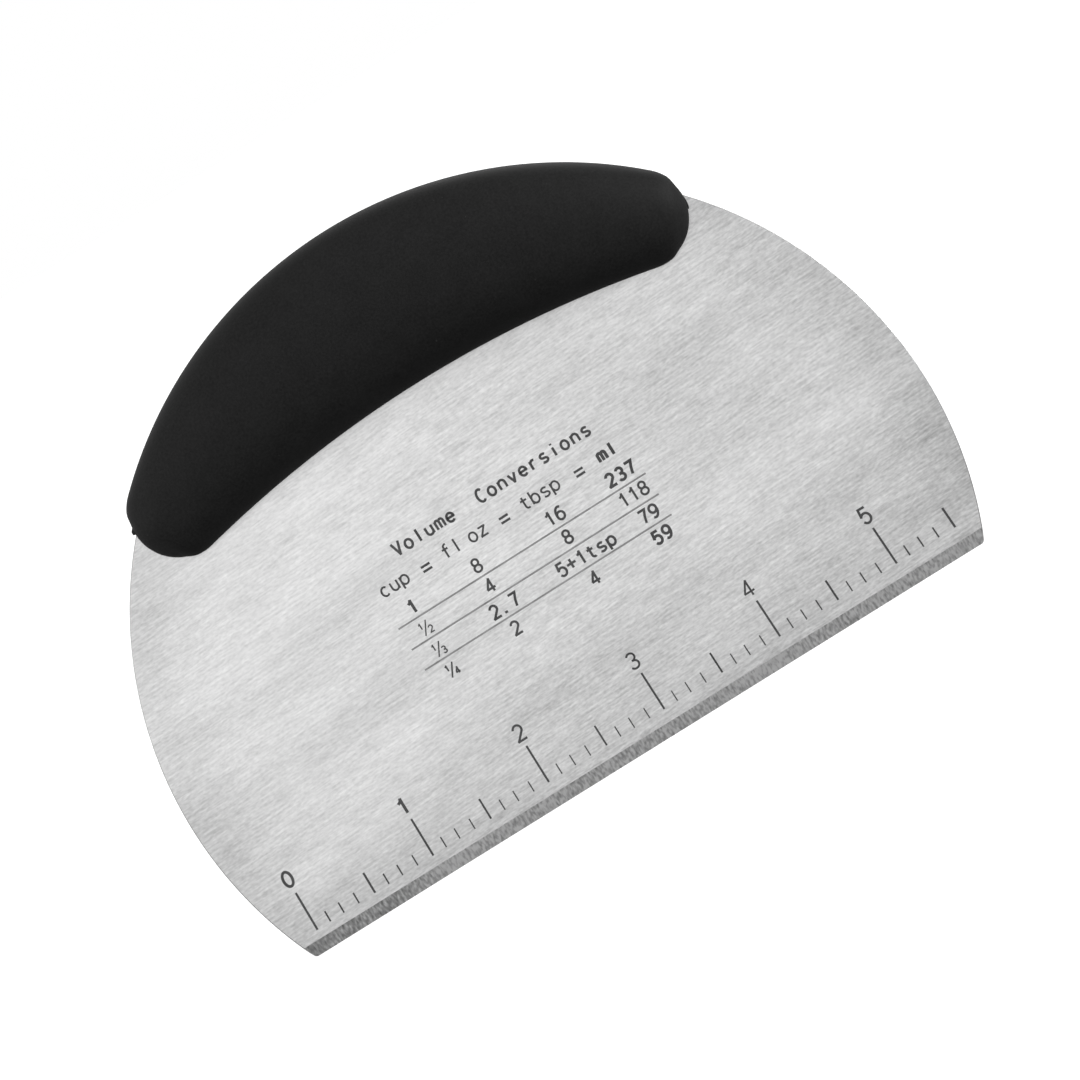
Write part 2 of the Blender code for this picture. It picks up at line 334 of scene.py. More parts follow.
def section(u, lean, inset, sides, finished):
    """A closed loop around the flattened ball at u, in a plane that leans by that angle to the right.

    The finished surface has the parting line, the nibs and the blunter tips."""
    point, along, radius, _ = spine(u)
    up = Vector((-along.z, 0.0, along.x))
    outward = math.sin(lean) * along + math.cos(lean) * up
    radius -= inset
    if finished:
        radius -= TIP_FLATTENING * smoothstep(FLATTENING_START, FLATTENING_FULL, abs(lean))
    depth = math.cos(lean) * half_depth(u, radius)
    loop = []
    turns, shrink = section_turns(depth, sides)
    for turn in turns:
        height = math.copysign(abs(math.cos(turn)) ** (2 / SECTION_POWER), math.cos(turn))
        place = point + radius * (math.sin(lean) * along + math.cos(lean) * height * up)
        share = math.copysign(abs(math.sin(turn)) ** (2 / SECTION_POWER), math.sin(turn))
        place.y = depth * share
        if finished and height > 0:
            place += ridge_height(place.y, lean, shrink) * outward
        loop.append(place)
    return loop


def cap_leans(first, nib, steps):
    """Leans of the sections that round off an end. They are close where its nib rises and stops."""
    start, full, stop, _ = nib
    near = [start, (2 * start + full) / 3, (start + 2 * full) / 3, full, stop, stop + NIB_EDGE]
    even = [first + (LAST_LEAN - first) * i / steps for i in range(1, steps + 1)]
    clear = [lean for lean in even if min(abs(lean - other) for other in near) > NIB_EDGE]
    return sorted(near + clear)


def handle_solid(inset, sides, spine_steps, cap_steps, finished=False):
    """The grip's outer form, or the same form with its surface moved in by inset."""
    first = math.asin(-spine(SPINE_END)[3])
    left = cap_leans(first, LEFT_NIB, cap_steps)
    right = cap_leans(first, RIGHT_NIB, cap_steps)
    loops = [section(-SPINE_END, -lean, inset, sides, finished) for lean in reversed(left)]
    for i in range(spine_steps + 1):
        u = SPINE_END * (2 * i / spine_steps - 1)
        loops.append(section(u, math.asin(-spine(u)[3]), inset, sides, finished))
    loops += [section(SPINE_END, lean, inset, sides, finished) for lean in right]
    bm = bmesh.new()
    rings = [[bm.verts.new(place) for place in loop] for loop in loops]
    count = len(rings[0])
    for a, b in zip(rings, rings[1:]):
        for i in range(count):
            j = (i + 1) % count
            bm.faces.new((a[i], a[j], b[j], b[i]))
    for u, ring in ((-SPINE_END, rings[0]), (SPINE_END, rings[-1])):
        point, along, radius, _ = spine(u)
        blunt = TIP_FLATTENING if finished else 0.0
        tip = bm.verts.new(point + math.copysign(radius - inset - blunt, u) * along)
        for i in range(count):
            bm.faces.new((ring[i], ring[(i + 1) % count], tip))
    return bm


def slot_solid():
    """The space that the blade takes in the grip, a little wider than the blade."""
    half = HALF_THICKNESS + SLOT_GAP
    outline = arc(0.0, BLADE_CENTRE_Z, BLADE_RADIUS + SLOT_GAP, 0.0, math.pi, SLOT_STEPS)
    bm = bmesh.new()
    rings = [[bm.verts.new((x, y, z)) for x, z in outline] for y in (-half, half)]
    count = len(outline)
    for i in range(count):
        j = (i + 1) % count
        bm.faces.new((rings[0][i], rings[0][j], rings[1][j], rings[1][i]))
    bm.faces.new(rings[0])
    bm.faces.new(rings[1])
    return bm


def make_grip(rubber):
    outer = handle_solid(inset=0.0, sides=56, spine_steps=150, cap_steps=18, finished=True)
    cavity = handle_solid(inset=GRIP_WALL, sides=24, spine_steps=60, cap_steps=8)
    bm = subtract(outer, cavity, slot_solid())
    smooth(bm, GRIP_SHARP)
    grip = add_piece("grip_skin", bm, [rubber])
    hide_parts("grip")
    return grip


# ---------------------------------------------------------------- etched lettering
# Glyphs are centre lines in units of the letter height, with x = 0 in the middle and z = 0 on the line.

BEND_STEP = 12  # degrees


def bend(x, z, radius_x, radius_z, start, end):
    """Points along an ellipse, from one angle to another in degrees, anticlockwise from the right."""
    steps = max(3, math.ceil(abs(end - start) / BEND_STEP))
    angles = [math.radians(start + (end - start) * i / steps) for i in range(steps + 1)]
    return [(x + radius_x * math.cos(a), z + radius_z * math.sin(a)) for a in angles]


BOWL = bend(0.0, 0.34, 0.28, 0.34, 0, 360)
ARCH = bend(0.0, 0.42, 0.25, 0.26, 180, 0)

GLYPHS = {
    "0": [bend(0.0, 0.5, 0.29, 0.5, 0, 360)],
    "1": [[(-0.20, 0.76), (-0.02, 0.86), (0.06, 1.0), (0.06, 0.0)]],
    "2": [bend(0.0, 0.71, 0.27, 0.29, 165, -28) + [(-0.29, 0.0), (0.30, 0.0)]],
    "3": [bend(0.0, 0.755, 0.25, 0.245, 155, -90) + bend(0.0, 0.255, 0.28, 0.255, 90, -155)],
    "4": [[(0.11, 0.0), (0.11, 1.0), (-0.32, 0.27)], [(-0.36, 0.27), (0.33, 0.27)]],
    "5": [[(0.25, 1.0), (-0.19, 1.0), (-0.25, 0.50)] + bend(0.0, 0.32, 0.29, 0.33, 135, -150)],
    "6": [bend(0.0, 0.31, 0.28, 0.31, 0, 360), bend(0.07, 0.42, 0.35, 0.58, 190, 62)],
    "7": [[(-0.28, 1.0), (0.29, 1.0), (0.08, 0.52), (-0.06, 0.0)]],
    "8": [bend(0.0, 0.755, 0.24, 0.245, 0, 360), bend(0.0, 0.26, 0.28, 0.26, 0, 360)],
    "9": [bend(0.0, 0.69, 0.28, 0.31, 0, 360), bend(-0.07, 0.58, 0.35, 0.58, 10, -118)],
    ".": [[(-0.24, 0.03), (0.0, 0.03)]],
    "=": [[(-0.38, 0.42), (0.38, 0.42)], [(-0.38, 0.05), (0.38, 0.05)]],
    "+": [[(-0.37, 0.52), (0.37, 0.52)], [(0.0, 0.15), (0.0, 0.89)]],
    "C": [bend(0.02, 0.5, 0.29, 0.5, 48, 312)],
    "V": [[(-0.30, 1.0), (0.0, 0.0), (0.30, 1.0)]],
    "b": [[(-0.28, 1.0), (-0.28, 0.0)], BOWL],
    "c": [bend(0.02, 0.34, 0.27, 0.34, 48, 312)],
    "e": [[(-0.27, 0.35), (0.27, 0.35)] + bend(0.0, 0.34, 0.28, 0.34, 4, 318)],
    "f": [bend(0.16, 0.80, 0.20, 0.20, 75, 180) + [(-0.04, 0.0)], [(-0.24, 0.66), (0.22, 0.66)]],
    "i": [[(0.0, 0.0), (0.0, 0.68)], [(0.0, 0.88), (0.0, 1.0)]],
    "l": [[(0.0, 0.0), (0.0, 1.0)]],
    "m": [
        [(-0.32, 0.0), (-0.32, 0.68)],
        bend(-0.16, 0.50, 0.16, 0.18, 180, 0) + [(0.0, 0.0)],
        bend(0.16, 0.50, 0.16, 0.18, 180, 0) + [(0.32, 0.0)],
    ],
    "n": [[(-0.25, 0.0), (-0.25, 0.68)], ARCH + [(0.25, 0.0)]],
    "o": [BOWL],
    "p": [[(-0.28, 0.68), (-0.28, -0.26)], BOWL],
    "r": [[(-0.18, 0.0), (-0.18, 0.68)], bend(0.06, 0.42, 0.24, 0.26, 180, 60)],
    "s": [bend(0.0, 0.51, 0.23, 0.17, 35, 270) + bend(0.0, 0.17, 0.25, 0.17, 90, -145)[1:]],
    "t": [
        [(-0.06, 0.92), (-0.06, 0.2)] + bend(0.12, 0.2, 0.18, 0.19, 180, 300),
        [(-0.28, 0.66), (0.22, 0.66)],
    ],
    "u": [[(0.25, 0.0), (0.25, 0.68)], [(-0.25, 0.68)] + bend(0.0, 0.26, 0.25, 0.26, 180, 360)],
    "v": [[(-0.26, 0.68), (0.0, 0.0), (0.26, 0.68)]],
    "z": [[(-0.25, 0.67), (0.25, 0.67), (-0.27, 0.0), (0.27, 0.0)]],
}


def sharp_parts(points, width):
    """A stroke cut at its sharp corners, which both parts pass by a little to make them blunt."""
    line = [Vector(points[0])]
    line += [Vector(b) for a, b in zip(points, points[1:]) if math.dist(a, b) > SAME_PLACE]
    parts = [[line[0]]]
    for before, here, after in zip(line, line[1:], line[2:]):
        into, out = (here - before).normalized(), (after - here).normalized()
        if into.dot(out) < math.cos(SHARP_TURN):
            parts[-1].append(here + CORNER_OVERLAP * width * into)
            parts.append([here - CORNER_OVERLAP * width * out])
        else:
            parts[-1].append(here)
    parts[-1].append(line[-1])
    return parts


def ribbon(points, width):
    """Left and right sides of a stroke of that width, mitred at its corners."""
    closed = math.dist(points[0], points[-1]) < SAME_PLACE
    line = [Vector(p) for p in (points[:-1] if closed else points)]
    count = len(line)
    left, right = [], []
    for i, here in enumerate(line):
        before = line[i - 1] if closed or i > 0 else None
        after = line[(i + 1) % count] if closed or i < count - 1 else None
        into = (here - before).normalized() if before else (after - here).normalized()
        out = (after - here).normalized() if after else into
        side = Vector((-into.y - out.y, into.x + out.x)).normalized()
        reach = width / 2 / side.dot(Vector((-into.y, into.x)))
        left.append(here + reach * side)
        right.append(here - reach * side)
    return left, right, closed


def add_stroke(bm, points, width, place, raised=0.0):
    """A stroke as a thin closed solid, raised to stand clear of others that it overlaps.

    place turns flat coordinates and a depth into a 3D point on the blade."""
    left, right, closed = ribbon(points, width)
    layers = []
    for depth in (FILM_GAP + FILM + raised, FILM_GAP):
        layers.append([[bm.verts.new(place(p.x, p.y, depth)) for p in side] for side in (left, right)])
    (front_l, front_r), (back_l, back_r) = layers
    count = len(left)
    for i in range(count if closed else count - 1):
        j = (i + 1) % count
        bm.faces.new((front_l[i], front_l[j], front_r[j], front_r[i]))
        bm.faces.new((back_l[j], back_l[i], back_r[i], back_r[j]))
        bm.faces.new((front_l[j], front_l[i], back_l[i], back_l[j]))
        bm.faces.new((front_r[i], front_r[j], back_r[j], back_r[i]))
    if not closed:
        bm.faces.new((front_l[0], front_r[0], back_r[0], back_l[0]))
        bm.faces.new((front_r[-1], front_l[-1], back_l[-1], back_r[-1]))


def on_blade(x, z, depth):
    """A point on the blade's front, for print coordinates that are turned by the print's small tilt."""
    cos, sin = math.cos(PRINT_TILT), math.sin(PRINT_TILT)
    return Vector((cos * x - sin * z, -HALF_THICKNESS - depth, sin * x + cos * z))


def write(bm, text, centre_x, base_z, height, width, advance=LETTER_ADVANCE, place=on_blade):
    """A line of glyphs, centred on centre_x. height is over the whole letter, width is the stroke's."""
    scale = height - width
    start = centre_x - advance * height * (len(text) - 1) / 2
    for i, letter in enumerate(text):
        x = start + advance * height * i
        parts = []
        for stroke in GLYPHS.get(letter, []):
            points = [(x + scale * px, base_z + width / 2 + scale * pz) for px, pz in stroke]
            parts += sharp_parts(points, width)
        for order, part in enumerate(parts):
            add_stroke(bm, part, width, place, order * FILM_STEP)


# A fraction's small numbers, each with its middle, its base and its height, and the ends of its slash. All
# are in units of the letter height.
NUMERATOR = (-0.27, 0.42, 0.49)
DENOMINATOR = (0.26, -0.02, 0.53)
SLASH = ((-0.265, 0.0), (0.225, 0.90))


def write_fraction(bm, below, centre_x, base_z, height, width):
    """One over a number, both small, either side of a slash."""
    for number, (x, z, small) in (("1", NUMERATOR), (below, DENOMINATOR)):
        write(bm, number, centre_x + x * height, base_z + z * height, small * height, width)
    slash = [(centre_x + x * height, base_z + z * height) for x, z in SLASH]
    add_stroke(bm, slash, width, on_blade, 2 * FILM_STEP)


RULER_INCHES = 5.5
LONG_MARK = 8.1 * MM
HALF_MARK = 4.4 * MM
SHORT_MARK = 2.25 * MM
DIGIT_HEIGHT = 3.5 * MM
DIGIT_BASE = 9.15 * MM  # above the ruler's base line
ZERO_RAISED = 0.2 * MM
# The etch took some digits' strokes wider than others', and some stand to the side of their marks.
DIGIT_WIDTHS = (1.48, 1.55, 1.20, 1.08, 1.02, 1.29)
DIGIT_SHIFTS = (0.0, -0.1 * MM, 0.1 * MM, -0.17 * MM, -0.2 * MM, 0.0)
# The marks stand a little unevenly: where the inch marks are, and the others in eighths from them.
INCHES = (0.0, 1.005, 2.004, 3.0, 3.995, 4.996)
EIGHTHS = (0.0, 0.91, 1.85, 2.89, 4.0, 4.97, 5.92, 6.97)
# The etching stencil was pulled a little: the marks' feet spread outwards, and the line that they stand on
# sags at its ends.
RULER_FAN = 0.66  # per metre
RULER_SAG = 0.06  # per metre
# Length of a mark, its width in the ruler's middle, and how much wider it is at the ruler's ends.
INCH_MARK = (LONG_MARK, 1.07 * MARK_WIDTH, 0.07 * MARK_WIDTH)
MIDDLE_MARK = (HALF_MARK, 0.95 * MARK_WIDTH, 0.25 * MARK_WIDTH)
EIGHTH_MARK = (SHORT_MARK, 0.64 * MARK_WIDTH, 0.22 * MARK_WIDTH)


def on_ruler(x, z, depth):
    """The same point as on_blade, on the pulled stencil."""
    below_middle = RULER_BASE_Z + LONG_MARK / 2 - z
    return on_blade(x * (1 + RULER_FAN * below_middle), z - RULER_SAG * x * x, depth)


def make_ruler(oxide):
    bm = bmesh.new()
    eighth = INCH / 8
    for i in range(int(RULER_INCHES * 8) + 1):
        inch, part = divmod(i, 8)
        x = RULER_ZERO_X + INCHES[inch] * INCH + EIGHTHS[part] * eighth
        length, width, wider = {0: INCH_MARK, 4: MIDDLE_MARK}.get(part, EIGHTH_MARK)
        mark = [(x, RULER_BASE_Z), (x, RULER_BASE_Z + length)]
        add_stroke(bm, mark, width + wider * (x / RULER_ZERO_X) ** 2, on_ruler)
        if part == 0:
            x += DIGIT_SHIFTS[inch]
            width = DIGIT_WIDTHS[inch] * MARK_WIDTH
            base_z = RULER_BASE_Z + DIGIT_BASE + (ZERO_RAISED if inch == 0 else 0.0)
            write(bm, str(inch), x, base_z, DIGIT_HEIGHT, width, place=on_ruler)
    return add_piece("etched_ruler", bm, [oxide])


TEXT_HEIGHT = 2.95 * MM
HEADING = "Volume  Conversions"
HEADING_X = 1.1 * MM
HEADING_Z = 56.1 * MM
HEADING_ADVANCE = 0.765
HEADING_WEIGHT = 1.3
# Each unit with the place of its middle, in millimetres, and then their strokes' widths in mark widths.
UNITS = (
    ("cup", -23.3),
    ("=", -16.6),
    ("fl", -10.9),
    ("oz", -5.3),
    ("=", 0.3),
    ("tbsp", 8.2),
    ("=", 16.5),
    ("ml", 22.65),
)
UNITS_Z = 50.72 * MM
UNIT_WEIGHT = 1.01
UNIT_WEIGHTS = {"ml": 1.60, "=": 1.25}
ROWS_Z = (45.4 * MM, 40.9 * MM, 36.25 * MM, 31.65 * MM)
RULES_Z = (44.7 * MM, 40.12 * MM, 35.6 * MM)
COLUMNS_RAISED = (0.0, 0.10 * MM, 0.10 * MM, 0.22 * MM)  # the columns stand a little higher to the right
RULE_WIDTH = 0.33 * MM
RULE_ENDS = (-27.1 * MM, 26.7 * MM)
# Each entry with the place of its middle, in millimetres, and its strokes' width in mark widths.
ROWS = (
    (("1", -22.7, 1.48), ("8", -8.65, 1.16), ("16", 8.35, 1.25), ("237", 22.7, 1.49)),
    (("1/2", -22.7, 0.68), ("4", -8.55, 1.2), ("8", 8.3, 1.2), ("118", 22.75, 1.15)),
    (("1/3", -22.75, 0.72), ("2.7", -8.3, 1.27), ("5+1tsp", 9.45, 1.27), ("79", 23.2, 1.3)),
    (("1/4", -22.75, 0.86), ("2", -8.7, 1.2), ("4", 8.5, 1.2), ("59", 23.25, 1.46)),
)


def make_table(oxide, faint_oxide):
    """The heading, the units and the amounts, with fainter rules between the rows."""
    bm = bmesh.new()
    width = HEADING_WEIGHT * MARK_WIDTH
    write(bm, HEADING, HEADING_X, HEADING_Z, TEXT_HEIGHT, width, advance=HEADING_ADVANCE)
    for word, x in UNITS:
        weight = UNIT_WEIGHTS.get(word, UNIT_WEIGHT)
        level_z = UNITS_Z - math.tan(PRINT_TILT) * x * MM  # this row alone stands level
        write(bm, word, x * MM, level_z, TEXT_HEIGHT, weight * MARK_WIDTH)
    for row, base_z in zip(ROWS, ROWS_Z):
        for (entry, x, weight), raised in zip(row, COLUMNS_RAISED):
            width = weight * MARK_WIDTH
            if "/" in entry:
                write_fraction(bm, entry[-1], x * MM, base_z + raised, TEXT_HEIGHT, width)
            else:
                write(bm, entry, x * MM, base_z + raised, TEXT_HEIGHT, width)
    letter_faces = len(bm.faces)
    for z in RULES_Z:
        add_stroke(bm, [(RULE_ENDS[0], z), (RULE_ENDS[1], z)], RULE_WIDTH, on_blade)
    for face in list(bm.faces)[letter_faces:]:
        face.material_index = 1
    return add_piece("etched_table", bm, [oxide, faint_oxide])


# ---------------------------------------------------------------- materials


class Nodes:
    """A few short calls for building a node tree."""

    def __init__(self, name):
        self.material = bpy.data.materials.new(name)
        self.material.use_nodes = True
        self.tree = self.material.node_tree
        self.shader = self.tree.nodes["Principled BSDF"]
        self.coordinates = self.tree.nodes.new("ShaderNodeTexCoord").outputs["Object"]

    def set(self, **values):
        for name, value in values.items():
            self.shader.inputs[name.replace("_", " ")].default_value = value

    def link(self, value, socket):
        if isinstance(value, (int, float)):
            socket.default_value = value
        else:
            self.tree.links.new(value, socket)

    def place(self, axis):
        """How far along an axis a point of the object is, in metres."""
        node = self.tree.nodes.new("ShaderNodeSeparateXYZ")
        self.tree.links.new(self.coordinates, node.inputs["Vector"])
        return node.outputs[axis]

    def distance_y(self, centre):
        """How far a point of the object is from the line along Y through the centre."""
        apart = self.tree.nodes.new("ShaderNodeVectorMath")
        flat = self.tree.nodes.new("ShaderNodeVectorMath")
        length = self.tree.nodes.new("ShaderNodeVectorMath")
        apart.operation = "SUBTRACT"
        flat.operation = "MULTIPLY"
        length.operation = "LENGTH"
        apart.inputs[1].default_value = centre
        flat.inputs[1].default_value = (1.0, 0.0, 1.0)
        self.tree.links.new(self.coordinates, apart.inputs[0])
        self.tree.links.new(apart.outputs["Vector"], flat.inputs[0])
        self.tree.links.new(flat.outputs["Vector"], length.inputs[0])
        return length.outputs["Value"]

    def stretched(self, sizes, lean=0.0):
        """Object coordinates in units of the given sizes, in millimetres, turned about Y by the lean."""
        turn = self.tree.nodes.new("ShaderNodeMapping")
        turn.inputs["Rotation"].default_value = (0.0, math.radians(lean), 0.0)
        scale = self.tree.nodes.new("ShaderNodeMapping")
        scale.inputs["Scale"].default_value = [1000 / size for size in sizes]
        self.tree.links.new(self.coordinates, turn.inputs["Vector"])
        self.tree.links.new(turn.outputs["Vector"], scale.inputs["Vector"])
        return scale.outputs["Vector"]

    def noise(self, sizes, detail=2.0, roughness=0.5, distortion=0.0, lean=0.0):
        node = self.tree.nodes.new("ShaderNodeTexNoise")
        node.inputs["Scale"].default_value = 1.0
        node.inputs["Detail"].default_value = detail
        node.inputs["Roughness"].default_value = roughness
        node.inputs["Distortion"].default_value = distortion
        self.tree.links.new(self.stretched(sizes, lean), node.inputs["Vector"])
        return node.outputs["Fac"]

    def maths(self, operation, a, b=0.0, c=0.0):
        node = self.tree.nodes.new("ShaderNodeMath")
        node.operation = operation
        for value, socket in zip((a, b, c), node.inputs):
            self.link(value, socket)
        return node.outputs["Value"]

    def swing(self, value, amount):
        """A 0 to 1 noise turned into a swing of that amount about 0."""
        return self.maths("MULTIPLY_ADD", value, 2 * amount, -amount)

    def add(self, *values):
        total = values[0]
        for value in values[1:]:
            total = self.maths("ADD", total, value)
        return total

    def remap(self, value, low, high, to_low, to_high):
        node = self.tree.nodes.new("ShaderNodeMapRange")
        node.interpolation_type = "SMOOTHSTEP"
        for name, number in (("From Min", low), ("From Max", high), ("To Min", to_low), ("To Max", to_high)):
            node.inputs[name].default_value = number
        self.link(value, node.inputs["Value"])
        return node.outputs["Result"]

    def tint(self, colour, factor):
        """A colour made lighter or darker by a factor about 1."""
        node = self.tree.nodes.new("ShaderNodeVectorMath")
        node.operation = "SCALE"
        node.inputs[0].default_value = colour
        self.link(factor, node.inputs["Scale"])
        self.tree.links.new(node.outputs["Vector"], self.shader.inputs["Base Color"])

    def roughness(self, value):
        self.link(value, self.shader.inputs["Roughness"])

    def bump(self, height, distance):
        node = self.tree.nodes.new("ShaderNodeBump")
        node.inputs["Strength"].default_value = 1.0
        node.inputs["Distance"].default_value = distance
        self.link(height, node.inputs["Height"])
        self.tree.links.new(node.outputs["Normal"], self.shader.inputs["Normal"])

    def tangent(self, direction):
        node = self.tree.nodes.new("ShaderNodeCombineXYZ")
        for socket, value in zip(node.inputs, direction):
            socket.default_value = value
        self.tree.links.new(node.outputs["Vector"], self.shader.inputs["Tangent"])


STEEL = (0.73, 0.73, 0.73)
# The bevel's steel is the face's steel made lighter: painted light for the light that its downward slope
# misses.
GROUND_STEEL_WITH_LIGHT = (0.87, 0.87, 0.87)
# The rim's tone: partly the sheared steel's own, partly painted shade for the dark line along the rim.
SHEARED_STEEL_AND_SHADE = (0.33, 0.33, 0.33)
OXIDE = (0.055, 0.055, 0.056)
FAINT_OXIDE = (0.24, 0.24, 0.24)
RUBBER = (0.0093, 0.0093, 0.0093)
CORE_PLASTIC = (0.16, 0.16, 0.165)
RIVET_STEEL = (0.55, 0.55, 0.56)
# Painted shade on the brushed steel: how far it reaches in from the rim and up from the working edge.
RIM_SHADE_REACH = 17 * MM
EDGE_SHADE_REACH = 32 * MM
FAINT_SCRATCHES = (-50 * MM, 0.0)  # along X: where the scratches are faintest, and where they are in full
DARK_BEVEL = (-56 * MM, -44 * MM)  # along X: up to where the bevel is darkest, and where that ends


def brushed_steel():
    """Sheet steel belt-brushed along the working edge: short fine scratches over soft cloudy bands.

    It has painted shade that makes it darker towards the rim and towards the working edge, and the
    scratches are fainter at its left."""
    n = Nodes("brushed steel")
    n.set(Metallic=1.0, Anisotropic=0.4)
    short = n.noise((0.95, 8.0, 0.43), detail=1.0, lean=3.0)
    long = n.noise((4.5, 8.0, 0.46), detail=1.0, lean=2.0)
    bands = n.noise((10.0, 8.0, 1.8), detail=2.0, lean=2.0)
    clouds = n.noise((60.0, 30.0, 13.0), detail=3.0, roughness=0.5, lean=1.5)
    fainter = n.remap(n.place("X"), *FAINT_SCRATCHES, 0.82, 1.0)
    scratches = n.maths("MULTIPLY", n.add(n.swing(short, 0.255), n.swing(long, 0.30)), fainter)
    from_centre = n.distance_y((0.0, 0.0, BLADE_CENTRE_Z))
    # Painted shade: the steel's colour darkens towards the rim and towards the working edge.
    painted_rim_shade = n.remap(from_centre, BLADE_RADIUS - RIM_SHADE_REACH, BLADE_RADIUS, 0.0, -0.17)
    painted_edge_shade = n.remap(n.place("Z"), 0.0, EDGE_SHADE_REACH, -0.12, 0.0)
    patches = n.add(n.swing(bands, 0.10), n.swing(clouds, 0.28))
    n.tint(STEEL, n.add(1.0, scratches, patches, n.maths("MINIMUM", painted_rim_shade, painted_edge_shade)))
    n.roughness(n.add(0.42, n.maths("MULTIPLY", scratches, 0.3), n.swing(clouds, 0.05)))
    n.bump(n.add(short, long), 0.003 * MM)
    n.tangent((0.0, 0.0, 1.0))
    return n.material


def sheared_steel():
    """The blade's rim, with tear marks straight through its thickness. Its dark tone is partly the sheared
    steel's own and partly painted shade.
    """
    n = Nodes("sheared steel rim")
    n.set(Metallic=1.0)
    tears = n.noise((0.16, 4.0, 0.16), detail=3.0, roughness=0.6)
    patches = n.noise((3.0, 3.0, 3.0), detail=1.0)
    n.tint(SHEARED_STEEL_AND_SHADE, n.add(1.0, n.swing(tears, 0.25), n.swing(patches, 0.15)))
    n.roughness(n.add(0.42, n.swing(tears, 0.10)))
    n.bump(tears, 0.006 * MM)
    return n.material


def ground_steel():
    """The bevel, ground across the edge, in uneven lighter and darker stretches, darkest at its left end.
    Its base is lighter than the face's steel, as painted light.
    """
    n = Nodes("ground steel bevel")
    n.set(Metallic=1.0, Anisotropic=0.5)
    marks = n.noise((0.50, 4.0, 1.2), detail=1.0)
    bands = n.noise((3.0, 6.0, 5.0), detail=2.0)
    patches = n.noise((17.0, 20.0, 20.0), detail=1.0)
    left_end = n.remap(n.place("X"), *DARK_BEVEL, -0.25, 0.0)
    shade = n.add(1.0, n.swing(marks, 0.72), n.swing(bands, 0.16), n.swing(patches, 0.30), left_end)
    n.tint(GROUND_STEEL_WITH_LIGHT, shade)
    n.roughness(n.add(0.50, n.swing(marks, 0.12)))
    n.bump(marks, 0.006 * MM)
    n.tangent((1.0, 0.0, 0.0))
    return n.material


def etched_oxide(name, colour):
    """The dark layer of an electro-etched mark, uneven in tone, with the brushing showing through."""
    n = Nodes(name)
    n.set(Metallic=0.35)
    grain = n.noise((2.4, 8.0, 0.13), detail=3.0, roughness=0.6)
    tone = n.noise((2.6, 5.0, 14.0), detail=1.0)
    n.tint(colour, n.add(1.0, n.swing(grain, 0.35), n.swing(tone, 0.55)))
    n.roughness(n.add(0.62, n.swing(grain, 0.10)))
    n.bump(grain, 0.003 * MM)
    return n.material


def soft_rubber():
    """Soft-touch thermoplastic rubber: black, matt, faintly grained by the mould, with a few dust specks."""
    n = Nodes("soft touch rubber")
    n.set(IOR=1.45, Specular_IOR_Level=0.12)
    grain = n.noise((0.42, 0.42, 0.42), detail=3.0, roughness=0.65)
    mottle = n.noise((5.0, 5.0, 5.0), detail=3.0)
    dust = n.remap(n.noise((0.9, 0.9, 0.9), detail=1.0), 0.78, 0.84, 0.0, 1.6)
    n.tint(RUBBER, n.add(1.0, n.swing(grain, 0.95), n.swing(mottle, 0.28), dust))
    n.roughness(n.add(0.66, n.swing(grain, 0.06), n.swing(mottle, 0.05)))
    n.bump(n.add(grain, n.maths("MULTIPLY", mottle, 0.5)), 0.012 * MM)
    return n.material


def moulded_plastic():
    """Rigid core plastic, as it leaves the mould, with faint flow marks."""
    n = Nodes("moulded core plastic")
    grain = n.noise((0.4, 0.4, 0.4), detail=2.0)
    flow = n.noise((14.0, 5.0, 5.0), detail=2.0, distortion=0.8)
    n.tint(CORE_PLASTIC, n.add(1.0, n.swing(grain, 0.06), n.swing(flow, 0.08)))
    n.roughness(n.add(0.50, n.swing(grain, 0.06), n.swing(flow, 0.05)))
    n.bump(grain, 0.01 * MM)
    return n.material


def rivet_steel():
    """Drawn steel wire with headed ends."""
    n = Nodes("rivet steel")
    n.set(Metallic=1.0)
    drawn = n.noise((0.2, 5.0, 0.2), detail=2.0)
    marks = n.noise((0.8, 0.8, 0.8), detail=3.0)
    n.tint(RIVET_STEEL, n.add(1.0, n.swing(drawn, 0.10), n.swing(marks, 0.12)))
    n.roughness(n.add(0.32, n.swing(marks, 0.10)))
    n.bump(n.add(drawn, marks), 0.006 * MM)
    return n.material


def finish_hidden_nodes():
    """Better materials on the CAD nodes that stay."""
    finishes = {"core_plastic": moulded_plastic(), "rivet_steel": rivet_steel()}
    slots = {entry["node"]: entry["material_slot"] for entry in frame["record"]["subparts"]}
    for name, node in frame["nodes"].items():
        finish = finishes.get(slots.get(name))
        if finish is not None:
            for slot in node.material_slots:
                slot.material = finish


# ---------------------------------------------------------------- studio

FLOOR_SIZE = 6.0
WHITE = (1.0, 1.0, 1.0, 1.0)
FLOOR_GLOW = 0.25
# The surroundings' brightness by the height of a direction, from straight down (0) to straight up (1), a
# factor for how far it points to the left (0) or right (1), and by how much the front is brighter.
SURROUND = ((0.0, 0.03), (0.20, 0.17), (0.33, 0.24), (0.42, 0.64), (0.50, 1.13), (0.75, 1.10), (1.0, 0.75))
SIDEWAYS = ((0.0, 0.85), (0.30, 1.10), (0.44, 1.28), (0.53, 1.02), (0.70, 0.61), (1.0, 0.90))
FRONT_GAIN = 0.25
# The softboxes: their names, places, widths and heights, and powers in watts.
SOFTBOX_AIM = Vector((0.0, 0.0, 0.06))
SOFTBOXES = (
    ("left softbox", (-0.6, -1.1, 0.25), (0.4, 0.6), 1.4),
    ("right softbox", (1.25, -0.25, 0.2), (0.5, 0.4), 15.5),
    ("left side softbox", (-1.25, -0.25, 0.2), (0.5, 0.4), 3.8),
    ("back softbox", (0.5, 1.3, 0.8), (0.9, 0.7), 4.0),
)


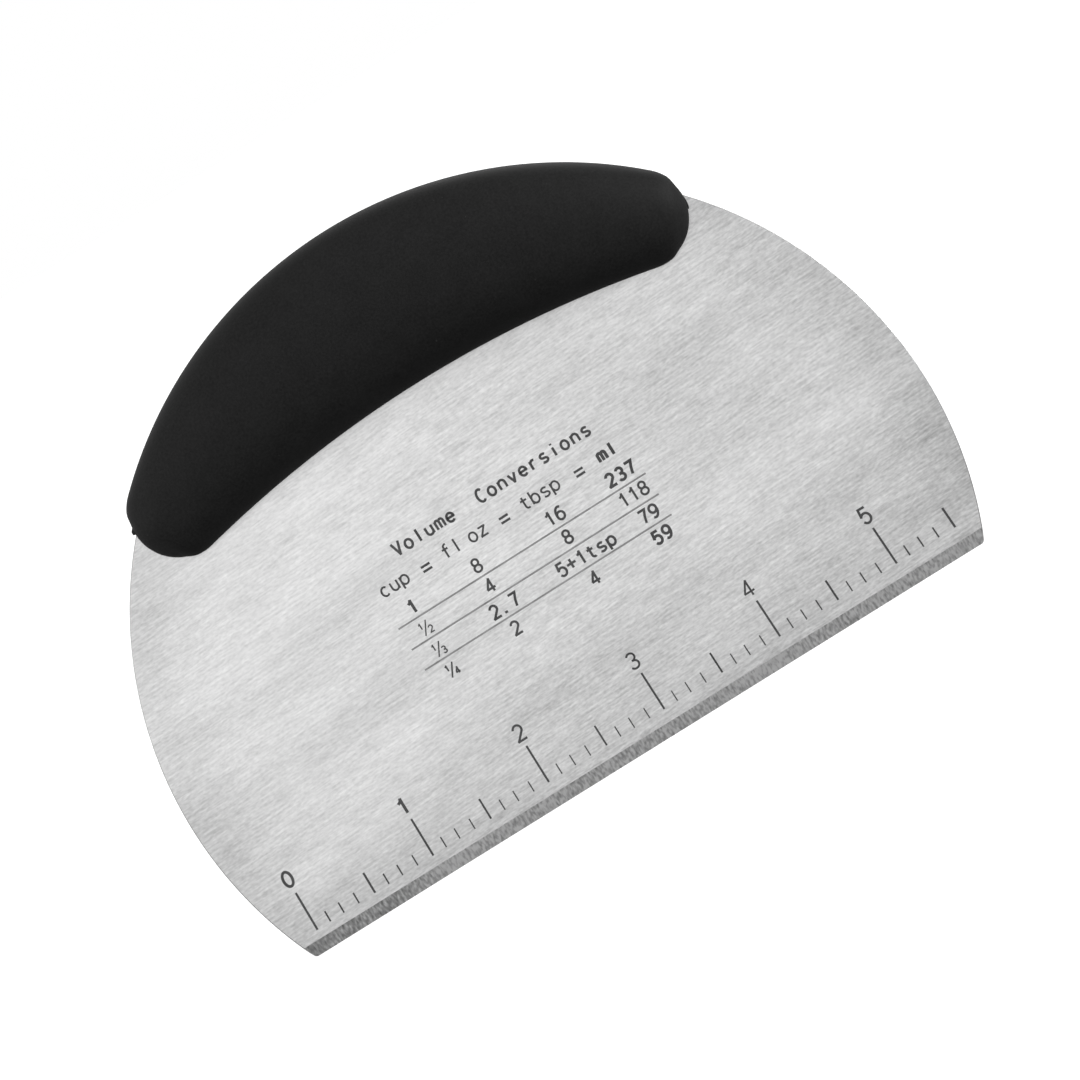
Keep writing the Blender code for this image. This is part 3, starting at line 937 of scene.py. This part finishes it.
def gradient(tree, value, stops):
    """Brightness that changes smoothly between stops, as a value goes from -1 to 1."""
    share = tree.nodes.new("ShaderNodeMapRange")
    share.inputs["From Min"].default_value = -1.0
    ramp = tree.nodes.new("ShaderNodeValToRGB")
    ramp.color_ramp.interpolation = "EASE"
    for i, (place, light) in enumerate(stops):
        stop = ramp.color_ramp.elements[i] if i < 2 else ramp.color_ramp.elements.new(place)
        stop.position = place
        stop.color = (light, light, light, 1.0)
    tree.links.new(value, share.inputs["Value"])
    tree.links.new(share.outputs["Result"], ramp.inputs["Fac"])
    return ramp.outputs["Color"]


def make_world():
    """Lights the object by its surroundings. The camera itself sees plain white around it."""
    world = bpy.data.worlds.new("studio")
    world.use_nodes = True
    tree = world.node_tree
    direction = tree.nodes.new("ShaderNodeTexCoord")
    parts = tree.nodes.new("ShaderNodeSeparateXYZ")
    front = tree.nodes.new("ShaderNodeMath")
    both = tree.nodes.new("ShaderNodeVectorMath")
    shade = tree.nodes.new("ShaderNodeVectorMath")
    path = tree.nodes.new("ShaderNodeLightPath")
    mix = tree.nodes.new("ShaderNodeMix")
    front.operation = "MULTIPLY_ADD"
    front.inputs[1].default_value = -FRONT_GAIN
    front.inputs[2].default_value = 1.0
    both.operation = "MULTIPLY"
    shade.operation = "SCALE"
    mix.data_type = "RGBA"
    mix.inputs["B"].default_value = WHITE
    tree.links.new(direction.outputs["Generated"], parts.inputs["Vector"])
    tree.links.new(parts.outputs["Y"], front.inputs[0])
    tree.links.new(gradient(tree, parts.outputs["Z"], SURROUND), both.inputs[0])
    tree.links.new(gradient(tree, parts.outputs["X"], SIDEWAYS), both.inputs[1])
    tree.links.new(both.outputs["Vector"], shade.inputs[0])
    tree.links.new(front.outputs["Value"], shade.inputs["Scale"])
    tree.links.new(path.outputs["Is Camera Ray"], mix.inputs["Factor"])
    tree.links.new(shade.outputs["Vector"], mix.inputs["A"])
    tree.links.new(mix.outputs["Result"], tree.nodes["Background"].inputs["Color"])
    bpy.context.scene.world = world


def make_floor():
    bm = bmesh.new()
    bmesh.ops.create_grid(bm, x_segments=1, y_segments=1, size=FLOOR_SIZE / 2)
    mesh = bpy.data.meshes.new("floor")
    bm.to_mesh(mesh)
    bm.free()
    n = Nodes("white floor")
    n.set(Base_Color=(0.95, 0.95, 0.95, 1.0), Roughness=0.9, Specular_IOR_Level=0.1)
    n.set(Emission_Color=WHITE, Emission_Strength=FLOOR_GLOW)
    mesh.materials.append(n.material)
    floor = bpy.data.objects.new("floor", mesh)
    bpy.context.scene.collection.objects.link(floor)
    # The metal mirrors the darker surroundings below it, not the floor.
    floor.visible_diffuse = False
    floor.visible_glossy = False


def add_softbox(name, place, size, power):
    data = bpy.data.lights.new(name, "AREA")
    data.shape = "RECTANGLE"
    data.size, data.size_y = size
    data.energy = power
    lamp = bpy.data.objects.new(name, data)
    bpy.context.scene.collection.objects.link(lamp)
    lamp.location = place
    lamp.rotation_euler = (SOFTBOX_AIM - Vector(place)).to_track_quat("-Z", "Y").to_euler()


def make_camera():
    data = bpy.data.cameras.new("camera")
    data.lens = CAMERA_LENS
    data.clip_start = 0.01
    camera = bpy.data.objects.new("camera", data)
    bpy.context.scene.collection.objects.link(camera)
    flat = math.cos(CAMERA_ELEVATION)
    back = Vector((
        math.sin(CAMERA_AZIMUTH) * flat,
        -math.cos(CAMERA_AZIMUTH) * flat,
        math.sin(CAMERA_ELEVATION),
    ))
    camera.location = CAMERA_AIM + CAMERA_DISTANCE * back
    level = (-back).to_track_quat("-Z", "Y").to_matrix()
    camera.rotation_euler = (level @ Matrix.Rotation(-CAMERA_ROLL, 3, "Z")).to_euler()
    bpy.context.scene.camera = camera


def make_studio():
    make_world()
    make_floor()
    make_camera()
    bpy.context.scene.view_settings.view_transform = "Standard"
    for softbox in SOFTBOXES:
        add_softbox(*softbox)


# ---------------------------------------------------------------- the object

make_studio()
make_blade(brushed_steel(), sheared_steel(), ground_steel())
oxide = etched_oxide("etched oxide", OXIDE)
make_ruler(oxide)
make_table(oxide, etched_oxide("faint oxide", FAINT_OXIDE))
make_grip(soft_rubber())
finish_hidden_nodes()
